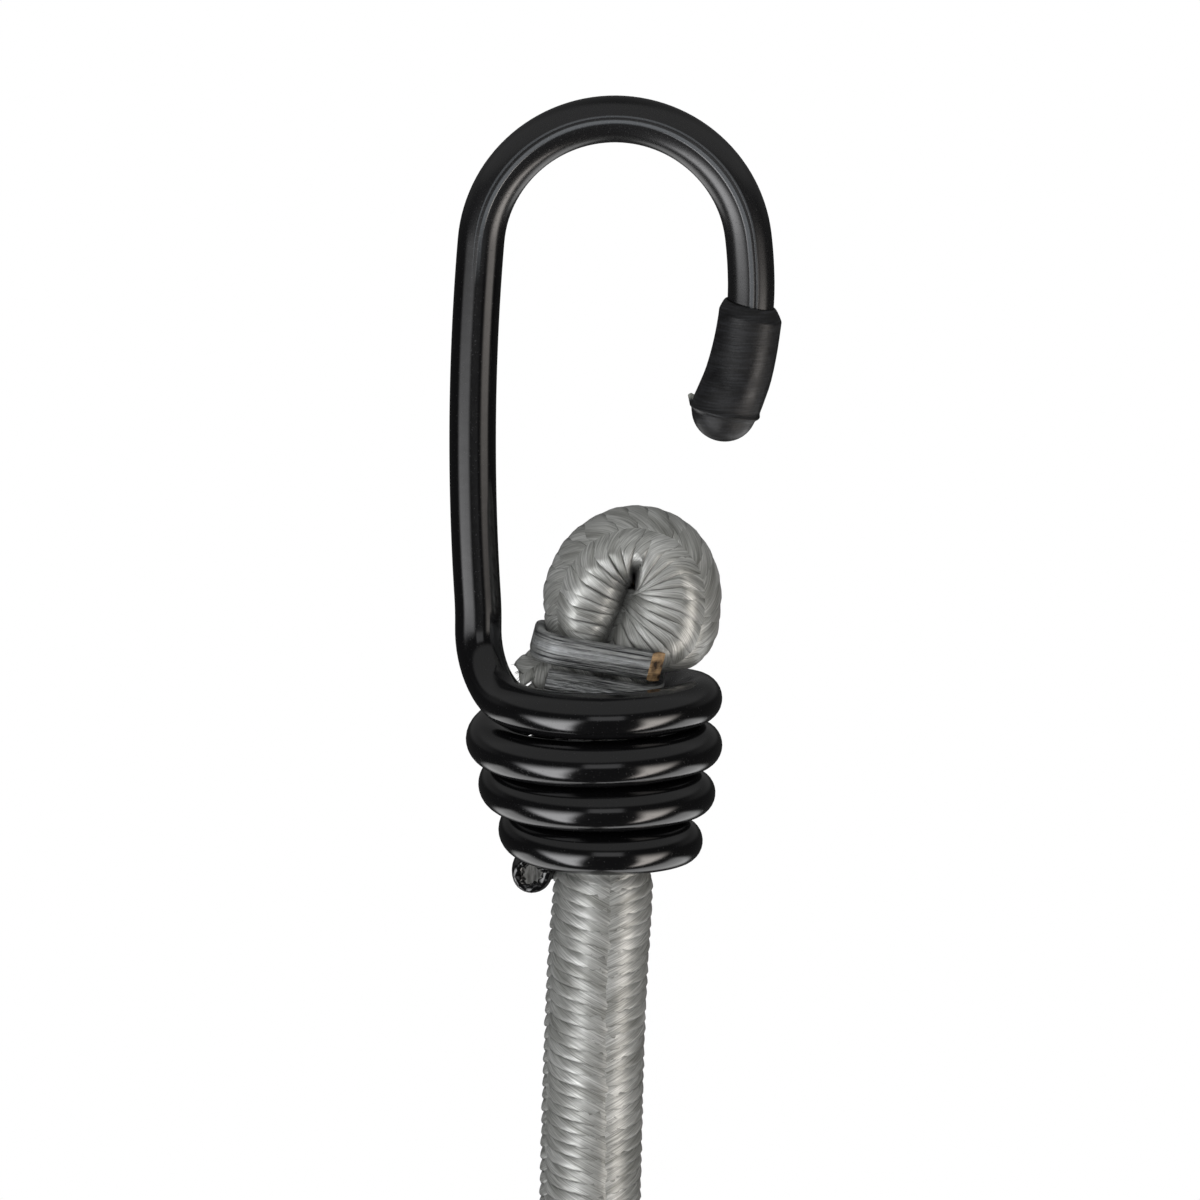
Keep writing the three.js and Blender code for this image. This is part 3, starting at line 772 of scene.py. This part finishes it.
# Tip caps: dipped soft vinyl, pushed on the wire's end, with a sloped collar at the mouth and a moulding
# line above the rounded end.
cap_sides = 40
cap_tilt = math.radians(11.2)  # of its mouth and its moulding line alike, as the soft cap only leans over
cap_rings = [  # middle of each ring, across and up, then its radius
    (13.68, -20.9, 2.37),
    (14.13, -16.3, 2.37),
    (14.13, -16.1, 2.43),
    (14.13, -16.12, 2.6),
    (14.14, -16.45, 2.84),
    (14.15, -17.1, 3.15),
    (14.15, -17.34, 3.25),
    (14.13, -17.6, 3.22),
    (13.96, -19.04, 3.24),
    (13.68, -20.92, 3.28),
    (13.13, -23.46, 3.36),
    (12.66, -24.72, 3.41),
    (12.2, -25.98, 3.46),
    (11.98, -26.5, 3.47),
    (11.88, -26.75, 3.52),
    (11.8, -26.95, 3.66),
    (11.74, -27.1, 3.68),
    (11.7, -27.25, 3.52),
    (11.68, -27.4, 3.3),
    (11.6, -27.8, 3.22),
    (11.47, -28.5, 2.97),
    (11.33, -29.2, 2.47),
    (11.22, -29.75, 1.77),
    (11.16, -30.05, 1.0),
    (11.14, -30.15, 0.45),
]

x, z, radius = cap_rings[0]
bpy.ops.object.select_all(action="DESELECT")
bpy.ops.mesh.primitive_circle_add(
    vertices=cap_sides, radius=radius, location=(x, 0, z), rotation=(0, cap_tilt, 0)
)
upper_cap = bpy.context.object
upper_cap.name = "upper_dipped_cap"
bpy.ops.object.transform_apply()
bpy.ops.object.mode_set(mode="EDIT")
bpy.ops.mesh.select_all(action="SELECT")
for next_x, next_z, next_radius in cap_rings[1:]:
    bpy.ops.mesh.extrude_region_move(TRANSFORM_OT_translate={"value": (next_x - x, 0, next_z - z)})
    grow = next_radius / radius
    bpy.ops.transform.resize(value=(grow, grow, grow), center_override=(next_x, 0, next_z))
    x, z, radius = next_x, next_z, next_radius
bpy.ops.mesh.edge_face_add()
bpy.ops.mesh.select_all(action="SELECT")
bpy.ops.mesh.normals_make_consistent(inside=False)
bpy.ops.object.mode_set(mode="OBJECT")
upper_cap.scale = (MM, MM, MM)
bpy.ops.object.transform_apply()
smoothing = upper_cap.modifiers.new("soft edges", "SUBSURF")
smoothing.levels = smoothing.render_levels = 1
bpy.ops.object.modifier_apply(modifier=smoothing.name)
bpy.ops.object.shade_smooth()

# A rag of flash is left standing on the moulding line.
burr = Vector((8.17, 0, -26.3)) * MM
burr_pull = Vector((-0.1, 0, 0.75)) * MM
burr_reach = 0.75 * MM
bpy.ops.object.mode_set(mode="EDIT")
bpy.ops.mesh.select_mode(type="VERT")
bpy.ops.mesh.select_all(action="DESELECT")
bpy.ops.object.mode_set(mode="OBJECT")
min(upper_cap.data.vertices, key=lambda vertex: (vertex.co - burr).length).select = True
bpy.ops.object.mode_set(mode="EDIT")
bpy.ops.transform.translate(
    value=burr_pull,
    use_proportional_edit=True,
    proportional_edit_falloff="SPHERE",
    proportional_size=burr_reach,
)
bpy.ops.object.mode_set(mode="OBJECT")

# Dipped vinyl: satin black, scuffed in handling with fine marks round it, and dusty in patches. The rag of
# flash is thin, so it is pale.
burr_middle = burr + Vector((0, 0, 0.5 * MM))
dip, tree, shader = new_finish("dipped_soft_vinyl", IOR=1.5)
place = add_node(tree, "TexCoord", {})
scuff_place = add_node(
    tree,
    "Mapping",
    {"Vector": place.outputs["Object"], "Rotation": (0, 0.35, 0), "Scale": (0.4 / MM, 0.4 / MM, 6 / MM)},
)
scuffs = add_node(tree, "TexNoise", {"Vector": scuff_place, "Scale": 1, "Detail": 4, "Roughness": 0.6})
tone = add_node(tree, "ValToRGB", {"Fac": scuffs}, stops=((0.45, "#0b0b0c"), (0.75, "#242528")))
from_burr = add_node(tree, "VectorMath", {0: place.outputs["Object"], 1: burr_middle}, operation="DISTANCE")
thin = add_node(tree, "MapRange", {0: from_burr.outputs["Value"], 1: 0.35 * MM, 2: burr_reach, 3: 1, 4: 0})
colour = add_node(tree, "Mix", {0: thin, 6: tone, 7: linear("#8d8f88")}, data_type="RGBA")
patches = add_node(tree, "TexNoise", {"Vector": place.outputs["Object"], "Scale": 0.45 / MM, "Detail": 3})
gloss = add_node(tree, "MapRange", {0: patches, 1: 0.35, 2: 0.65, 3: 0.36, 4: 0.56})
bump = add_node(tree, "Bump", {"Height": scuffs, "Strength": 0.4, "Distance": 0.06 * MM})
tree.links.new(colour.outputs[2], shader["Base Color"])
tree.links.new(gloss.outputs[0], shader["Roughness"])
tree.links.new(bump.outputs["Normal"], shader["Normal"])
upper_cap.data.materials.append(dip)
lower_cap = turned_copy(upper_cap)
for end, cap in (("upper", upper_cap), ("lower", lower_cap)):
    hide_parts(f"{end}_tip_cap")
    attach(cap, f"{end}_hook")

# Floor: a plain pale disc of paper well below the lower hook, which takes the cord's shadow. Only the camera
# sees it, so it keeps no light from the object, and it glows a little, so that it stays pale.
floor_radius = 1.8
floor_height = -0.62
floor_glow = 0.62
bpy.ops.object.select_all(action="DESELECT")
bpy.ops.mesh.primitive_circle_add(
    vertices=128, radius=floor_radius, fill_type="NGON", location=(0, 0, floor_height)
)
floor = bpy.context.object
floor.name = "floor"
floor.visible_diffuse = floor.visible_glossy = floor.visible_transmission = floor.visible_shadow = False

# White paper: matt, with a mottle that can only just be made out.
paper, tree, shader = new_finish(
    "white_paper", Roughness=0.9, Emission_Color=linear("#ffffff"), Emission_Strength=floor_glow
)
place = add_node(tree, "TexCoord", {})
mottle = add_node(tree, "TexNoise", {"Vector": place.outputs["Object"], "Scale": 4})
tone = add_node(tree, "ValToRGB", {"Fac": mottle}, stops=((0, "#f4f4f4"), (1, "#fafafa")))
tree.links.new(tone.outputs["Color"], shader["Base Color"])
floor.data.materials.append(paper)

# Light: soft lamps overhead, in front and behind, which don't show in the gloss, and a studio that does: a
# cool soft box low on the left, a warm one low on the right, a window, a dim ceiling, and behind the object
# a dim wall over two pale sweeps. The camera sees plain white.
lamp_size = 1.2
for name, place_at, energy in (
    ("overhead_lamp", (0, -0.2, 1.0), 8),
    ("front_lamp", (0, -1.0, 0.1), 4.8),
    ("back_lamp", (0, 1.0, 0.1), 4),
):
    bpy.ops.object.light_add(type="AREA", location=place_at)
    lamp = bpy.context.object
    lamp.name = name
    lamp.rotation_euler = lamp.location.to_track_quat("Z", "Y").to_euler()
    lamp.data.size = lamp_size
    lamp.data.energy = energy
    lamp.visible_camera = lamp.visible_glossy = False

studio = bpy.data.worlds.new("studio")
studio.use_nodes = True
bpy.context.scene.world = studio
tree = studio.node_tree
tree.nodes.clear()
direction = add_node(tree, "TexCoord", {})
axes = add_node(tree, "SeparateXYZ", {"Vector": direction.outputs["Generated"]})
frontwards = add_node(tree, "Math", {0: axes.outputs["Y"], 1: -1}, operation="MULTIPLY")
azimuth = add_node(tree, "Math", {0: axes.outputs["X"], 1: frontwards}, operation="ARCTAN2")
from_behind = add_node(tree, "Math", {0: axes.outputs["X"], 1: axes.outputs["Y"]}, operation="ARCTAN2")
elevation = add_node(tree, "Math", {0: axes.outputs["Z"]}, operation="ARCSINE")
taper_start = math.radians(-12)
depth = add_node(tree, "Math", {0: elevation, 1: -1, 2: taper_start}, operation="MULTIPLY_ADD")
below = add_node(tree, "Math", {0: depth, 1: 0}, operation="MAXIMUM")

# Each shape, in degrees: its two ends, how soft they are and how fast they close in below the height where
# the taper starts, then its bottom and top and how soft each is, and last its colour and strength.
light = (0.03, 0.03, 0.03)
for across, left_end, right_end, soft, taper, bottom, top, soft_bottom, soft_top, tint, strength in (
    (azimuth, -73, -17, 8, 0.4, -62, -16, 8, 15, "#f8f8fa", 5.3),
    (azimuth, 42, 80, 7, 0.3, -62, -16, 8, 15, "#fbf4ee", 5.3),
    (azimuth, -9, 24, 3, 0, -9, 10, 3, 3, "#eeeef0", 0.8),
    (azimuth, -120, 120, 40, 0, 19, 100, 5, 5, "#ffffff", 0.28),
    (from_behind, -80, 80, 15, 0, 2, 70, 5, 15, "#ffffff", 0.08),
    (from_behind, -80, -24, 10, 0, -100, -31, 8, 4, "#ffffff", 1.4),
    (from_behind, 24, 80, 10, 0, -100, -31, 8, 4, "#ffffff", 1.4),
):
    from_left = add_node(tree, "Math", {0: below, 1: -taper, 2: across}, operation="MULTIPLY_ADD")
    from_right = add_node(tree, "Math", {0: below, 1: taper, 2: across}, operation="MULTIPLY_ADD")
    inside = None
    for value, limit, reach in (
        (from_left, left_end, soft),
        (from_right, right_end, -soft),
        (elevation, bottom, soft_bottom),
        (elevation, top, -soft_top),
    ):
        within = add_node(
            tree,
            "MapRange",
            {0: value, 1: math.radians(limit - reach), 2: math.radians(limit + reach)},
            interpolation_type="SMOOTHSTEP",
        )
        if inside is None:
            inside = within
        else:
            inside = add_node(tree, "Math", {0: inside, 1: within}, operation="MULTIPLY")
    bright = [strength * channel for channel in linear(tint)[:3]] + [1]
    tinted = add_node(
        tree, "Mix", {0: inside, 6: linear("#000000"), 7: bright}, data_type="RGBA", clamp_result=False
    )
    light = add_node(tree, "VectorMath", {0: light, 1: tinted.outputs[2]}, operation="ADD")
lit = add_node(tree, "Background", {"Color": light})
plain = add_node(tree, "Background", {"Color": linear("#ffffff")})
ray = add_node(tree, "LightPath", {})
sky = add_node(tree, "MixShader", {0: ray.outputs["Is Camera Ray"], 1: lit, 2: plain})
add_node(tree, "OutputWorld", {"Surface": sky})

# Camera: a long lens a little above the hook, rolled as the photograph is. The frame is 120 mm wide at the
# object, so one pixel of 1200 is 0.1 mm.
camera_elevation = math.radians(12)
camera_roll = math.radians(1.25)
camera_lens = 400
camera_sensor = 36
frame_width = 120
frame_middle = (-1.3, 45.8)  # of the frame, right of and below the inside of the arch
level = Vector((1, 0, 0))
upright = Vector((0, math.sin(camera_elevation), math.cos(camera_elevation)))
away = Vector((0, math.cos(camera_elevation), -math.sin(camera_elevation)))
frame_right = level * math.cos(camera_roll) + upright * math.sin(camera_roll)
frame_up = upright * math.cos(camera_roll) - level * math.sin(camera_roll)
aim = frame_right * frame_middle[0] - frame_up * frame_middle[1]
bpy.ops.object.camera_add(location=(aim - away * frame_width * camera_lens / camera_sensor) * MM)
camera = bpy.context.object
camera.data.lens = camera_lens
camera.data.sensor_width = camera_sensor
camera.data.clip_end = 100
camera.rotation_euler = Matrix((frame_right, frame_up, -away)).transposed().to_euler()
bpy.context.scene.camera = camera
bpy.context.scene.view_settings.view_transform = "Standard"
